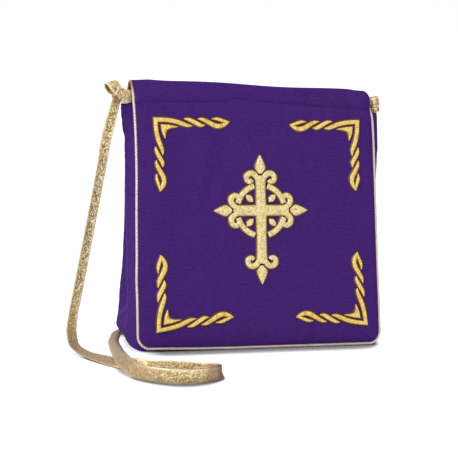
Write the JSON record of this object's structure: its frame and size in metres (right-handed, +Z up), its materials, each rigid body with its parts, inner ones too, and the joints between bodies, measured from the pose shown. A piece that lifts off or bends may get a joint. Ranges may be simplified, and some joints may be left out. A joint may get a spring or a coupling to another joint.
{
  "type": "burse",
  "caption": "Flapped cloth pouch with a gusset, gold piped edges and embroidered corners, hung from a knotted flat gold strap.",
  "frame": {"origin": "on the surface that the pouch stands on, under the middle of the pouch", "axes": "+Z up, the flap faces -Y, +X to the right of someone facing the flap"},
  "size_m": [0.2177, 0.1529, 0.1739],
  "materials": {
    "purple_cloth": "matt fine twill in deep purple",
    "gold_trim": "satin gold thread, raised and ribbed",
    "gold_strap": "sparkling champagne gold lame"
  },
  "bodies": {
    "root": {"back_casing_flap": "purple_cloth", "pouch_front": "purple_cloth", "gusset_strip": "purple_cloth", "flap_piping": "gold_trim", "strap_in_casing": "gold_strap", "strap_knot_left": "gold_strap", "strap_knot_right": "gold_strap", "strap_fall": "gold_strap"}
  },
  "joints": []
}
